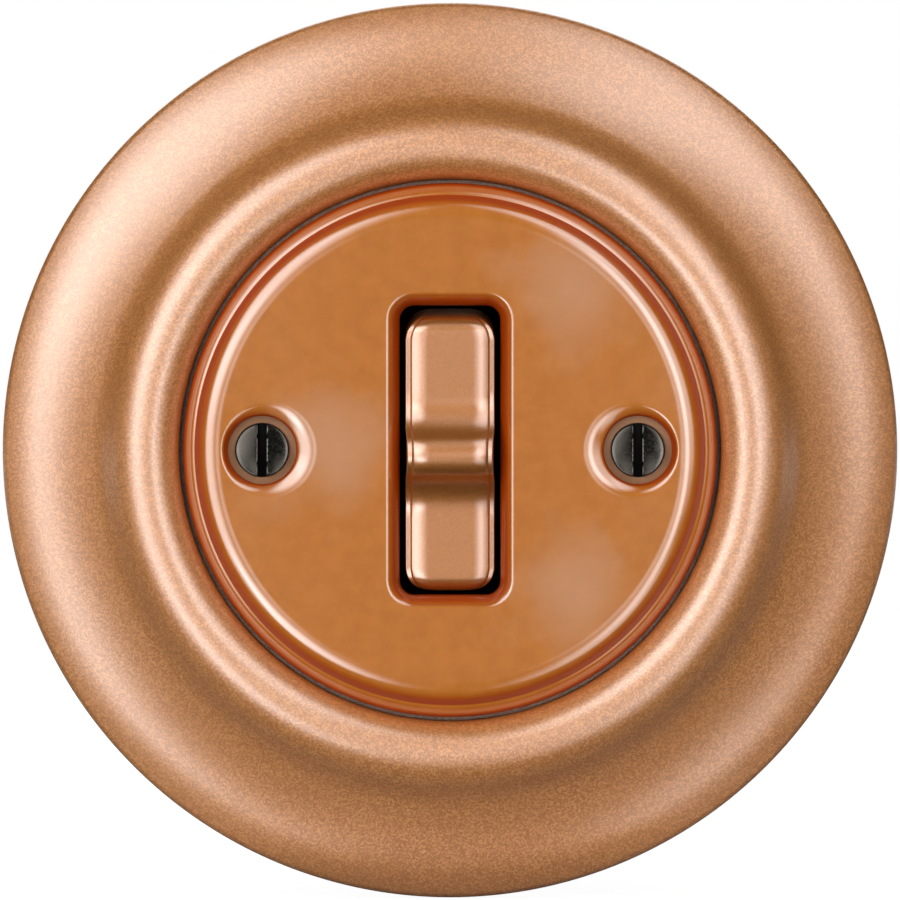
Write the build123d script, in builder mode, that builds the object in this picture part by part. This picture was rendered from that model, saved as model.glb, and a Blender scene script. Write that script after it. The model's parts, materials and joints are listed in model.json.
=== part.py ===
"""Porcelain toggle switch for a round flush wall box.

The origin lies on the wall plane, in the middle of the switch. +Z runs up the wall, -Y runs out of the wall
towards the user and +X is to the user's right. All sizes are in millimetres. Heights are measured out of
the wall, so what sits inside the wall box has negative heights. The rocker is drawn with its lower end
pressed in, which closes the upper contact.
"""

import os
from math import acos, cos, degrees, isclose, radians, sin, sqrt, tan

from build123d import *

# Porcelain frame: an ogee ring with a bead around the opening
ring_radius = 50.0
ring_edge_height = 2.8
opening_radius = 30.1
bead_lip = 3.5
bead_round = 4.8
bead_tilt = 60.0
bead_inner_round = 3.4
bead_inner_tilt = 55.0
cove_round = 8.0
band_tilt = 20.0
shoulder_round = 8.75
shoulder_tilt = 42.0
edge_width = 0.7
edge_drop = 1.55
ring_wall = 4.2
back_rim_width = 4.6
ledge_height = 6.2
ledge_thickness = 2.0
ledge_width = 2.9

# Glazed cover plate that sits on the ledge and clamps the frame to the wall
cover_gap = 0.4
cover_face_height = 13.4
cover_thickness = 3.6
cover_rim_width = 4.3
cover_step_drop = 2.55
cover_step_width = 1.6
cover_step_chamfer = 0.8
cover_shoulder_round = 4.6
cover_shoulder_tilt = 28.0
cover_corner_width = 0.4
cover_corner_drop = 0.6

# Window for the lever
window_gap = 0.66
window_end_gap = 0.4
window_corner = 1.6
window_round = 1.8

# Screws that hold the cover
cover_screw_spacing = 41.7
cover_screw_radius = 1.5
cover_screw_head_radius = 3.0
cover_screw_head_height = 1.7
cover_screw_head_chamfer = 0.4
cover_screw_slot_width = 1.0
cover_screw_slot_depth = 1.1
cover_screw_tip = 3.0
recess_radius = 4.0
recess_depth = 2.6
recess_lip = 1.2
boss_radius = 5.0
boss_length = 2.4
screw_hole_gap = 0.3
thread_gap = 0.03

# Lever that the finger presses, and the cradle that carries it
pivot_depth = 6.4
rocker_throw = 10.0
lever_width = 9.82
lever_half_length = 15.65
lever_flank = 6.0
lever_skirt = 2.6
lever_wall = 1.5
lever_roof = 1.8
lever_corner = 1.6
lever_edge_round = 1.6
ridge_height = 3.0
ridge_round = 3.4
ridge_foot_round = 3.6
pin_radius = 1.25
pin_running_gap = 0.03
pin_hole_gap = 0.35
cradle_gap = 0.1
cradle_drop = 2.2
cradle_hub = 9.0
cradle_web = 2.4
cradle_pad = 1.8

# Spring plunger inside the cradle's tube
plunger_radius = 1.85
plunger_length = 5.1
plunger_gap = 0.05
plunger_spigot_radius = 0.8
plunger_spigot_length = 1.4
plunger_nose_radius = 0.7
plunger_nose_length = 1.1
tube_wall = 1.1
tube_nose = 3.1
spring_wire = 0.5
spring_turns = 3.5
spring_roof = 0.65
spring_gap = 0.05

# See-saw contact under the plunger
seesaw_throw = 18.0
fulcrum_depth = 6.3
seesaw_width = 6.0
seesaw_half_length = 10.6
seesaw_wing = 1.0
seesaw_saddle = 0.7
seesaw_saddle_half = 2.3
fulcrum_radius = 0.8
fulcrum_gap = 0.03
plunger_clearance = 0.1
tip_reach = 9.0
tip_radius = 1.4
tip_face_radius = 0.8
tip_height = 0.9
tip_shank = 0.5
tip_gap = 0.15

# Fixed contacts and their screw terminals
fixed_tip_radius = 1.7
fixed_tip_height = 0.9
strip_width = 5.2
strip_thickness = 0.9
strip_inner = 6.6
blade_thickness = 1.0
foot_drop = 1.0
cage_size = 6.8
cage_width = 7.6
cage_length = 7.2
cage_wall = 0.9
cage_gap = 0.4
tail_gap = 0.8
terminal_screw_radius = 1.7
terminal_head_radius = 2.8
terminal_head_height = 2.0
terminal_head_gap = 0.4
terminal_wire_gap = 3.0
terminal_slot_width = 0.8
terminal_slot_depth = 1.0
wire_radius = 1.4

# Moulded base behind the wall plane, and the front housing that closes it
chamber_half_width = 16.6
chamber_half_height = 20.0
base_wall = 2.0
base_back = 2.5
base_corner = 3.0
cage_wall_gap = 0.6
access_gap = 0.4
post_size = 6.0
post_inset = 2.8
pad_inset = 0.2
guide_gap = 0.5
guide_thickness = 1.4
guide_half_length = 2.4
housing_thickness = 2.0
housing_gap = 0.2
housing_slot_gap = 0.8
housing_slot_half_height = 5.5
cheek_gap = 1.0
cheek_thickness = 2.7
cheek_round = 2.3
cheek_half_foot = 4.6

# Steel mounting plate with slots for the wall box's own screws
plate_margin = 2.0
plate_thickness = 1.2
plate_opening_gap = 0.9
plate_opening_half_height = 17.0
plate_opening_corner = 2.0
box_screw_spacing = 60.0
box_slot_length = 7.0
box_slot_width = 3.8
collar_wall = 1.5
collar_height = 2.0
base_screw_radius = 1.3
base_screw_head_radius = 2.6
base_screw_head_height = 1.7
base_screw_length = 10.0
base_screw_gap = 0.05
base_screw_slot_width = 0.7
base_screw_slot_depth = 0.9

# Directions and drawing planes
OUT = Vector(0, -1, 0)
UP = Vector(0, 0, 1)
RIGHT = Vector(1, 0, 0)
section_plane = Plane(origin=(0, 0, 0), x_dir=RIGHT, z_dir=-UP)
side_plane = Plane(origin=(0, 0, 0), x_dir=UP, z_dir=RIGHT)


def front_plane(height):
    """Plane parallel to the wall, seen from the front, with X to the right and Z up."""
    return Plane.XZ.offset(height)


# Frame heights, from the straight edge up to the crest of the bead
bead_radius = opening_radius + bead_lip
cove_radius = bead_radius + bead_round * sin(radians(bead_tilt))
band_start = cove_radius + cove_round * (sin(radians(bead_tilt)) - sin(radians(band_tilt)))
shoulder_radius = ring_radius - edge_width
band_end = shoulder_radius - shoulder_round * (sin(radians(shoulder_tilt)) - sin(radians(band_tilt)))
shoulder_height = ring_edge_height + edge_drop
band_height = shoulder_height + shoulder_round * (cos(radians(band_tilt)) - cos(radians(shoulder_tilt)))
cove_height = band_height + (band_end - band_start) * tan(radians(band_tilt))
bead_height = cove_height + cove_round * (cos(radians(band_tilt)) - cos(radians(bead_tilt)))
ring_height = bead_height + bead_round * (1 - cos(radians(bead_tilt)))

# Cover and window
cover_radius = opening_radius - cover_gap
cover_under = cover_face_height - cover_thickness
cover_step_height = cover_face_height - cover_step_drop
cover_step_radius = cover_radius - cover_step_width
cover_face_radius = cover_step_radius - cover_corner_width
cover_face_radius -= cover_shoulder_round * sin(radians(cover_shoulder_tilt))
window_width = lever_width + 2 * window_gap
window_height = 2 * (lever_half_length + window_end_gap)
recess_floor = cover_face_height - recess_depth

# Rocker, drawn about its pivot and leaning with the lower end in
rocker_lean = radians(rocker_throw / 2)
pivot_height = cover_face_height - pivot_depth
pivot = OUT * pivot_height
rocker_out = OUT * cos(rocker_lean) - UP * sin(rocker_lean)
rocker_up = UP * cos(rocker_lean) + OUT * sin(rocker_lean)
rocker_side = Plane(origin=pivot, x_dir=rocker_up, z_dir=RIGHT)
rocker_front = Plane(origin=pivot, x_dir=RIGHT, z_dir=rocker_out)
rocker_section = Plane(origin=pivot, x_dir=RIGHT, z_dir=RIGHT.cross(rocker_out))
rocker_axis = Axis(pivot, rocker_out)
ridge_top = lever_flank + ridge_height
ridge_tilt = degrees(acos(1 - ridge_height / (ridge_round + ridge_foot_round)))
cavity_top = lever_flank - lever_roof
cavity_half_width = lever_width / 2 - lever_wall
cavity_half_length = sqrt(lever_half_length**2 - cavity_top**2) - lever_wall
bore_radius = plunger_radius + plunger_gap
seesaw_front = seesaw_saddle + seesaw_wing
plunger_reach = pivot_height + fulcrum_depth - seesaw_front - plunger_clearance
tube_reach = plunger_reach - tube_nose
bore_top = -(pin_radius + pin_running_gap + spring_roof)
plunger_top = plunger_length - plunger_reach
cheek_inner = lever_width / 2 + cheek_gap
cheek_outer = cheek_inner + cheek_thickness

# See-saw, drawn about its fulcrum with the upper end pressed back
seesaw_lean = radians(seesaw_throw / 2)
fulcrum_height = -fulcrum_depth
seesaw_up = UP * cos(seesaw_lean) - OUT * sin(seesaw_lean)
seesaw_side = Plane(origin=OUT * fulcrum_height, x_dir=seesaw_up, z_dir=RIGHT)
tip_face = seesaw_saddle - tip_height
tip_depth = (tip_reach + tip_face_radius) * sin(seesaw_lean) - tip_face * cos(seesaw_lean)
fixed_tip_reach = tip_reach * cos(seesaw_lean) + tip_face * sin(seesaw_lean)
fixed_tip_front = fulcrum_height - tip_depth - tip_gap
strip_front = fixed_tip_front - fixed_tip_height
strip_back = strip_front - strip_thickness
foot_front = strip_front - foot_drop
foot_back = foot_front - strip_thickness

# Base depth follows from the terminals that stand on its floor
cage_front = foot_back - cage_gap
chamber_floor = cage_front - cage_length
base_rear = chamber_floor - base_back
base_half_width = chamber_half_width + base_wall
base_half_height = chamber_half_height + base_wall
terminal_height = (cage_front + chamber_floor) / 2
post_x = chamber_half_width - post_inset
post_z = chamber_half_height - post_inset

# Each terminal's name, the way it faces and the chamber wall it faces
terminals = {
    "upper": (UP, chamber_half_height),
    "lower": (-UP, chamber_half_height),
    "common": (RIGHT, chamber_half_width),
}


def cage_outer(reach):
    """Outer face of a terminal cage, from the switch's axis."""
    return reach - cage_wall_gap


def cage_inner(reach):
    """Inner face of a terminal cage, from the switch's axis."""
    return cage_outer(reach) - cage_size


def tail_inner(reach):
    """Face of a contact's tail that bears on the cage's inner wall."""
    return cage_inner(reach) + cage_wall


def wire_centre(reach):
    """Middle of the wire's way in, between the tail and the point of the clamp screw."""
    return tail_inner(reach) + strip_thickness + terminal_wire_gap / 2


def terminal_side(facing):
    """Plane through a terminal's axis: the facing direction runs to the right, and out of the wall is up."""
    return Plane(origin=(0, 0, 0), x_dir=facing, z_dir=facing.cross(OUT))


def terminal_end(facing, distance):
    """Plane square to a terminal's screw, at that distance from the switch's axis."""
    return Plane(origin=facing * distance, x_dir=OUT.cross(facing), z_dir=facing)


# Porcelain frame, revolved from its section
with BuildPart() as frame_ring:
    with BuildSketch(section_plane):
        with BuildLine():
            crest = (bead_radius, ring_height)
            bead = JernArc(crest, (1, 0), bead_round, -bead_tilt)
            cove = JernArc(bead @ 1, bead % 1, cove_round, bead_tilt - band_tilt)
            band = Line(cove @ 1, (band_end, band_height))
            shoulder = JernArc(band @ 1, band % 1, shoulder_round, band_tilt - shoulder_tilt)
            lip = JernArc(crest, (-1, 0), bead_inner_round, bead_inner_tilt)
            lip_end = lip @ 1
            lip_drop = (lip_end.X - opening_radius) * tan(radians(bead_inner_tilt))
            rim = ring_radius - back_rim_width
            hollow_wall = opening_radius + ring_wall
            ledge_under = ledge_height - ledge_thickness
            ledge_inner = opening_radius - ledge_width
            Polyline(
                shoulder @ 1,
                (ring_radius, ring_edge_height),
                (ring_radius, 0),
                (rim, 0),
                (rim, band_height - ring_wall),
                (hollow_wall, cove_height),
                (hollow_wall, ledge_under),
                (ledge_inner, ledge_under),
                (ledge_inner, ledge_height),
                (opening_radius, ledge_height),
                (opening_radius, lip_end.Y - lip_drop),
                lip_end,
            )
        make_face()
    revolve(axis=Axis.Y)

# Cover plate: a stepped disc with a soft shoulder, hollow behind
with BuildPart() as cover_plate:
    with BuildSketch(section_plane):
        with BuildLine():
            face_edge = (cover_face_radius, cover_face_height)
            soft = JernArc(face_edge, (1, 0), cover_shoulder_round, -cover_shoulder_tilt)
            soft_end = soft @ 1
            Polyline(
                soft_end,
                (cover_step_radius, soft_end.Y - cover_corner_drop),
                (cover_step_radius, cover_step_height),
                (cover_radius - cover_step_chamfer, cover_step_height),
                (cover_radius, cover_step_height - cover_step_chamfer),
                (cover_radius, ledge_height),
                (cover_radius - cover_rim_width, ledge_height),
                (cover_radius - cover_rim_width, cover_under),
                (0, cover_under),
                (0, cover_face_height),
                face_edge,
            )
        make_face()
    revolve(axis=Axis.Y)
    # Bosses under the screw recesses
    with BuildSketch(front_plane(cover_under)):
        with GridLocations(cover_screw_spacing, 0, 2, 1):
            Circle(boss_radius)
    extrude(amount=-boss_length)
    # Window with a rolled edge
    with BuildSketch(front_plane(cover_face_height)):
        RectangleRounded(window_width, window_height, window_corner)
    extrude(amount=-2 * cover_thickness, mode=Mode.SUBTRACT)
    window_rim = cover_plate.faces().filter_by(Axis.Y).sort_by(Axis.Y)[0].inner_wires()[0]
    fillet(window_rim.edges(), window_round)
    # Screw recesses with a flared lip, and the screws' holes
    with Locations(front_plane(cover_face_height)):
        with GridLocations(cover_screw_spacing, 0, 2, 1):
            lip_radius = recess_radius + recess_lip
            CounterSinkHole(recess_radius, lip_radius, depth=recess_depth, counter_sink_angle=90)
            CounterBoreHole(cover_screw_radius + screw_hole_gap, recess_radius, recess_depth)

# Slotted cover screws
with BuildPart() as cover_screws:
    head_top = recess_floor + cover_screw_head_height
    with BuildSketch(front_plane(recess_floor)):
        with GridLocations(cover_screw_spacing, 0, 2, 1):
            Circle(cover_screw_head_radius)
    extrude(amount=cover_screw_head_height)
    chamfer(cover_screws.edges().group_by(Axis.Y)[0], cover_screw_head_chamfer)
    with BuildSketch(front_plane(recess_floor)):
        with GridLocations(cover_screw_spacing, 0, 2, 1):
            Circle(cover_screw_radius)
    extrude(amount=-recess_floor - cover_screw_tip)
    with BuildSketch(front_plane(head_top)):
        with GridLocations(cover_screw_spacing, 0, 2, 1):
            Rectangle(cover_screw_slot_width, 3 * cover_screw_head_radius)
    extrude(amount=-cover_screw_slot_depth, mode=Mode.SUBTRACT)

# Lever: a hollow cap with a finger ridge across its middle
with BuildPart() as rocker_lever:
    with BuildSketch(rocker_side):
        with BuildLine():
            crown = JernArc((0, ridge_top), (1, 0), ridge_round, -ridge_tilt)
            foot = JernArc(crown @ 1, crown % 1, ridge_foot_round, ridge_tilt)
            flank_end = (sqrt(lever_half_length**2 - lever_flank**2), lever_flank)
            skirt_end = (sqrt(lever_half_length**2 - lever_skirt**2), -lever_skirt)
            Line(foot @ 1, flank_end)
            ThreePointArc(flank_end, (lever_half_length, 0), skirt_end)
            Line(skirt_end, (0, -lever_skirt))
            mirror(about=Plane.YZ)
        make_face()
    extrude(amount=lever_width / 2, both=True)
    end_arcs = rocker_lever.edges().filter_by(GeomType.CIRCLE).filter_by(
        lambda arc: isclose(arc.radius, lever_half_length)
    )
    chamfer(end_arcs, lever_corner)
    upper_rim = rocker_lever.faces().filter_by(rocker_axis).filter_by(lambda face: face.center().Y < pivot.Y)
    ridge_faces = rocker_lever.faces().filter_by(GeomType.CYLINDER).filter_by(
        lambda face: isclose(face.radius, ridge_round) or isclose(face.radius, ridge_foot_round)
    )
    top_faces = upper_rim + ridge_faces
    top_edges = [edge for face in top_faces for edge in face.edges()]
    shared = [edge for edge in top_edges if sum(edge.is_same(other) for other in top_edges) == 1]
    fillet(shared, lever_edge_round)
    with BuildSketch(rocker_front.offset(-lever_skirt)):
        Rectangle(2 * cavity_half_width, 2 * cavity_half_length)
    extrude(amount=lever_skirt + cavity_top, mode=Mode.SUBTRACT)
    with BuildSketch(rocker_side):
        Circle(pin_radius + pin_hole_gap)
    extrude(amount=lever_width, both=True, mode=Mode.SUBTRACT)

# Cradle: carries the lever, turns on the pin and guides the plunger
with BuildPart() as rocker_cradle:
    with BuildSketch(rocker_front.offset(-cradle_drop)):
        cradle_width = 2 * (cavity_half_width - cradle_gap)
        cradle_half_length = cavity_half_length - cradle_gap
        Rectangle(cradle_width, cradle_hub)
        Rectangle(cradle_web, 2 * cradle_half_length)
        with GridLocations(0, 2 * cradle_half_length - cradle_pad, 1, 2):
            Rectangle(cradle_width, cradle_pad)
    extrude(amount=cradle_drop + cavity_top)
    with BuildSketch(rocker_front.offset(-tube_reach)):
        Circle(bore_radius + tube_wall)
    extrude(amount=tube_reach - cradle_drop)
    with BuildSketch(rocker_front.offset(-tube_reach)):
        Circle(bore_radius)
    extrude(amount=tube_reach + bore_top, mode=Mode.SUBTRACT)
    with BuildSketch(rocker_side):
        Circle(pin_radius + pin_running_gap)
    extrude(amount=lever_width, both=True, mode=Mode.SUBTRACT)

# Blackened pin that the rocker turns on, held in the housing's cheeks
with BuildPart() as pivot_pin:
    with BuildSketch(Plane(origin=pivot, x_dir=UP, z_dir=RIGHT)):
        Circle(pin_radius)
    extrude(amount=cheek_outer, both=True)

# Plunger with a round nose and a spigot for its spring
with BuildPart() as plunger:
    with BuildSketch(rocker_section):
        with BuildLine():
            Polyline(
                (0, -plunger_reach),
                (0, plunger_top + plunger_spigot_length),
                (plunger_spigot_radius, plunger_top + plunger_spigot_length),
                (plunger_spigot_radius, plunger_top),
                (plunger_radius, plunger_top),
                (plunger_radius, plunger_nose_length - plunger_reach),
                (plunger_nose_radius, -plunger_reach),
                close=True,
            )
        make_face()
    revolve(axis=rocker_axis)

# Compression spring between the plunger and the roof of the bore
with BuildPart() as plunger_spring:
    coil_radius = bore_radius - spring_gap - spring_wire / 2
    coil_base = plunger_top + spring_gap + spring_wire / 2
    coil_height = bore_top - spring_gap - spring_wire / 2 - coil_base
    with BuildLine():
        coil = Helix(
            pitch=coil_height / spring_turns,
            height=coil_height,
            radius=coil_radius,
            center=pivot + rocker_out * coil_base,
            direction=rocker_out,
        )
    with BuildSketch(Plane(origin=coil @ 0, z_dir=coil % 0)):
        Rectangle(spring_wire, spring_wire)
    sweep(is_frenet=True)

# See-saw contact with a saddle that rides on the fulcrum
with BuildPart() as contact_seesaw:
    with BuildSketch(seesaw_side):
        with Locations((0, (seesaw_saddle + seesaw_front) / 2)):
            Rectangle(2 * seesaw_half_length, seesaw_wing)
        with Locations((0, seesaw_saddle / 2)):
            Rectangle(2 * seesaw_saddle_half, seesaw_saddle)
        Circle(fulcrum_radius + fulcrum_gap, mode=Mode.SUBTRACT)
    extrude(amount=seesaw_width / 2, both=True)

# Silver tips riveted to the see-saw
with BuildPart() as seesaw_tips:
    for side in (-1, 1):
        with BuildSketch(seesaw_side):
            with BuildLine():
                tip_u = side * tip_reach
                Polyline(
                    (tip_u, tip_face),
                    (tip_u, seesaw_saddle),
                    (tip_u + tip_radius, seesaw_saddle),
                    (tip_u + tip_radius, seesaw_saddle - tip_shank),
                    (tip_u + tip_face_radius, tip_face),
                    close=True,
                )
            make_face()
        tip_foot = seesaw_side.from_local_coords((tip_u, 0, 0))
        revolve(axis=Axis(tip_foot, seesaw_side.y_dir))

# Common contact: a round-topped blade on a foot, with a tail into its terminal
common_facing, common_reach = terminals["common"]
with BuildPart() as common_contact:
    with BuildSketch(side_plane):
        with Locations((0, fulcrum_height)):
            Circle(fulcrum_radius)
        with Locations((0, (fulcrum_height + foot_back) / 2)):
            Rectangle(blade_thickness, fulcrum_height - foot_back)
    extrude(amount=seesaw_width / 2, both=True)
    foot_start = -seesaw_width / 2
    foot_end = tail_inner(common_reach) + strip_thickness
    with BuildSketch(front_plane(foot_back)):
        with Locations(((foot_start + foot_end) / 2, 0)):
            Rectangle(foot_end - foot_start, strip_width)
    extrude(amount=strip_thickness)
    with BuildSketch(front_plane(foot_back)):
        with Locations((foot_end - strip_thickness / 2, 0)):
            Rectangle(strip_thickness, strip_width)
    extrude(amount=chamber_floor + tail_gap - foot_back)

# Fixed contact strips above and below, each with a tail into its terminal
fixed_contacts = {}
fixed_tips = {}
for name in ("upper", "lower"):
    facing, reach = terminals[name]
    with BuildPart() as strip:
        with BuildSketch(terminal_side(facing)):
            with BuildLine():
                strip_end = tail_inner(reach) + strip_thickness
                tail_bottom = chamber_floor + tail_gap
                Polyline(
                    (strip_inner, strip_back),
                    (strip_inner, strip_front),
                    (strip_end, strip_front),
                    (strip_end, tail_bottom),
                    (tail_inner(reach), tail_bottom),
                    (tail_inner(reach), strip_back),
                    close=True,
                )
            make_face()
        extrude(amount=strip_width / 2, both=True)
        bend = strip.edges().filter_by(Axis(origin=(0, 0, 0), direction=facing.cross(OUT)))
        fillet(bend.sort_by(Axis((0, 0, 0), facing + OUT))[-1], strip_thickness / 2)
    fixed_contacts[name] = strip
    with BuildPart() as tip:
        with BuildSketch(Plane(origin=facing * fixed_tip_reach + OUT * strip_front, z_dir=OUT)):
            Circle(fixed_tip_radius)
        extrude(amount=fixed_tip_height)
    fixed_tips[name] = tip

# Terminal cages: brass tubes open from front to back, tapped for the clamp screw
cages = {}
for name, (facing, reach) in terminals.items():
    with BuildPart() as cage:
        centre = (cage_inner(reach) + cage_outer(reach)) / 2
        with BuildSketch(front_plane(chamber_floor)):
            with Locations((facing.X * centre, facing.Z * centre)):
                across = Vector(abs(facing.X), abs(facing.Z))
                outer_x = across.X * cage_size + across.Y * cage_width
                outer_z = across.Y * cage_size + across.X * cage_width
                Rectangle(outer_x, outer_z)
                Rectangle(outer_x - 2 * cage_wall, outer_z - 2 * cage_wall, mode=Mode.SUBTRACT)
        extrude(amount=cage_length)
        with BuildSketch(terminal_end(facing, cage_outer(reach))):
            with Locations((0, terminal_height)):
                Circle(terminal_screw_radius + thread_gap)
        extrude(amount=-2 * cage_wall, mode=Mode.SUBTRACT)
    cages[name] = cage

# Clamp screws, one to a terminal
with BuildPart() as terminal_screws:
    for facing, reach in terminals.values():
        head_base = cage_outer(reach) + terminal_head_gap
        with BuildSketch(terminal_end(facing, head_base)):
            with Locations((0, terminal_height)):
                Circle(terminal_head_radius)
        extrude(amount=terminal_head_height)
        with BuildSketch(terminal_end(facing, head_base)):
            with Locations((0, terminal_height)):
                Circle(terminal_screw_radius)
        point = tail_inner(reach) + strip_thickness + terminal_wire_gap
        extrude(amount=point - head_base)
        with BuildSketch(terminal_end(facing, head_base + terminal_head_height)):
            with Locations((0, terminal_height)):
                Rectangle(terminal_slot_width, 3 * terminal_head_radius)
        extrude(amount=-terminal_slot_depth, mode=Mode.SUBTRACT)

# Moulded base: a deep tray with corner posts, contact pads and guides for the see-saw
with BuildPart() as base:
    with BuildSketch(front_plane(base_rear)):
        RectangleRounded(2 * base_half_width, 2 * base_half_height, base_corner)
    extrude(amount=-base_rear)
    with BuildSketch(front_plane(0)):
        Rectangle(2 * chamber_half_width, 2 * chamber_half_height)
    extrude(amount=chamber_floor, mode=Mode.SUBTRACT)
    with BuildSketch(front_plane(chamber_floor)):
        with GridLocations(2 * post_x, 2 * post_z, 2, 2):
            Rectangle(post_size, post_size)
    extrude(amount=-housing_thickness - chamber_floor)
    # Pads under the fixed strips
    pad_start = strip_inner + pad_inset
    pad_end = cage_inner(chamber_half_height) - pad_inset
    with BuildSketch(front_plane(chamber_floor)):
        with GridLocations(0, pad_start + pad_end, 1, 2):
            Rectangle(strip_width + 2 * base_wall, pad_end - pad_start)
    extrude(amount=strip_back - chamber_floor)
    # Pad under the common contact's foot, with guides beside the see-saw
    foot_pad_end = cage_inner(chamber_half_width) - pad_inset
    guide_inner = seesaw_width / 2 + guide_gap
    foot_pad_start = -(guide_inner + guide_thickness)
    with BuildSketch(front_plane(chamber_floor)):
        with Locations(((foot_pad_start + foot_pad_end) / 2, 0)):
            Rectangle(foot_pad_end - foot_pad_start, strip_width + 2 * pad_inset)
    extrude(amount=foot_back - chamber_floor)
    with BuildSketch(front_plane(foot_back)):
        with Locations((-(guide_inner + guide_thickness / 2), 0)):
            Rectangle(guide_thickness, 2 * guide_half_length)
    extrude(amount=fulcrum_height + seesaw_front - foot_back)
    # Ways in for the wires, and for the screwdriver
    with BuildSketch(front_plane(base_rear)):
        for facing, reach in terminals.values():
            with Locations((facing.X * wire_centre(reach), facing.Z * wire_centre(reach))):
                Circle(wire_radius)
    extrude(amount=base_back, mode=Mode.SUBTRACT)
    for facing, reach in terminals.values():
        with BuildSketch(terminal_end(facing, reach)):
            with Locations((0, terminal_height)):
                Circle(terminal_head_radius + access_gap)
        extrude(amount=base_wall, mode=Mode.SUBTRACT)
    # Blind holes for the screws that hold the mounting plate
    with BuildSketch(front_plane(-housing_thickness)):
        with Locations((-post_x, post_z), (post_x, -post_z)):
            Circle(base_screw_radius + base_screw_gap)
    extrude(amount=plate_thickness - base_screw_length, mode=Mode.SUBTRACT)

# Front housing: closes the base and carries the pivot pin in two cheeks
with BuildPart() as front_housing:
    with BuildSketch(front_plane(-housing_thickness)):
        Rectangle(2 * (chamber_half_width - housing_gap), 2 * (chamber_half_height - housing_gap))
        slot_half_width = bore_radius + tube_wall + housing_slot_gap
        Rectangle(2 * slot_half_width, 2 * housing_slot_half_height, mode=Mode.SUBTRACT)
        with Locations((-post_x, post_z), (post_x, -post_z)):
            Circle(base_screw_radius + base_screw_gap, mode=Mode.SUBTRACT)
    extrude(amount=housing_thickness)
    # Cheeks either side of the lever
    for side in (-1, 1):
        with BuildSketch(side_plane.offset(side * (cheek_inner + cheek_outer) / 2)):
            with BuildLine():
                Polyline(
                    (-cheek_half_foot, 0),
                    (cheek_half_foot, 0),
                    (cheek_round, pivot_height),
                    (-cheek_round, pivot_height),
                    close=True,
                )
            make_face()
            with Locations((0, pivot_height)):
                Circle(cheek_round)
                Circle(pin_radius + pin_running_gap, mode=Mode.SUBTRACT)
        extrude(amount=cheek_thickness / 2, both=True)

# Steel mounting plate with two pairs of slots and two tapped collars
with BuildPart() as mounting_plate:
    with BuildSketch(front_plane(0)):
        Circle(box_screw_spacing / 2 + box_slot_length / 2 + plate_margin)
        RectangleRounded(
            2 * (cheek_outer + plate_opening_gap),
            2 * plate_opening_half_height,
            plate_opening_corner,
            mode=Mode.SUBTRACT,
        )
        with GridLocations(box_screw_spacing, 0, 2, 1):
            SlotOverall(box_slot_length, box_slot_width, mode=Mode.SUBTRACT)
        with GridLocations(0, box_screw_spacing, 1, 2):
            SlotOverall(box_slot_length, box_slot_width, rotation=90, mode=Mode.SUBTRACT)
        with Locations((-post_x, post_z), (post_x, -post_z)):
            Circle(base_screw_radius + base_screw_gap, mode=Mode.SUBTRACT)
    extrude(amount=plate_thickness)
    with BuildSketch(front_plane(0)):
        with GridLocations(cover_screw_spacing, 0, 2, 1):
            Circle(cover_screw_radius + thread_gap + collar_wall)
    extrude(amount=plate_thickness + collar_height)
    with BuildSketch(front_plane(0)):
        with GridLocations(cover_screw_spacing, 0, 2, 1):
            Circle(cover_screw_radius + thread_gap)
    extrude(amount=plate_thickness + collar_height, mode=Mode.SUBTRACT)

# Screws that hold the base and the housing to the plate
with BuildPart() as base_screws:
    with BuildSketch(front_plane(plate_thickness)):
        with Locations((-post_x, post_z), (post_x, -post_z)):
            Circle(base_screw_radius)
    extrude(amount=-base_screw_length)
    with BuildSketch(front_plane(plate_thickness)):
        with Locations((-post_x, post_z), (post_x, -post_z)):
            Circle(base_screw_head_radius)
    extrude(amount=base_screw_head_height)
    with BuildSketch(front_plane(plate_thickness + base_screw_head_height)):
        with Locations((-post_x, post_z), (post_x, -post_z)):
            Rectangle(base_screw_slot_width, 3 * base_screw_head_radius)
    extrude(amount=-base_screw_slot_depth, mode=Mode.SUBTRACT)

# One STEP file to a piece
pieces = {
    "frame_ring": frame_ring,
    "cover_plate": cover_plate,
    "cover_screws": cover_screws,
    "rocker_lever": rocker_lever,
    "rocker_cradle": rocker_cradle,
    "pivot_pin": pivot_pin,
    "plunger": plunger,
    "plunger_spring": plunger_spring,
    "contact_seesaw": contact_seesaw,
    "seesaw_tips": seesaw_tips,
    "common_contact": common_contact,
    "upper_contact": fixed_contacts["upper"],
    "lower_contact": fixed_contacts["lower"],
    "upper_contact_tip": fixed_tips["upper"],
    "lower_contact_tip": fixed_tips["lower"],
    "upper_terminal": cages["upper"],
    "lower_terminal": cages["lower"],
    "common_terminal": cages["common"],
    "terminal_screws": terminal_screws,
    "base": base,
    "front_housing": front_housing,
    "mounting_plate": mounting_plate,
    "base_screws": base_screws,
}
os.makedirs("parts", exist_ok=True)
for name, piece in pieces.items():
    piece.part.label = name
    export_step(piece.part, f"parts/{name}.step")
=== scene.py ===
"""Porcelain toggle switch: the looks of the switch in its rest position, seen straight from the front.

Sections are drawn in millimetres, as a radius from an axis and a height out of the wall. A finished mesh is
scaled to metres. +Z runs up the wall and -Y runs out of the wall.
"""

import json
from math import cos, pi, radians, sin, tan

import bmesh
import bpy
from mathutils import Matrix, Vector


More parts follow.
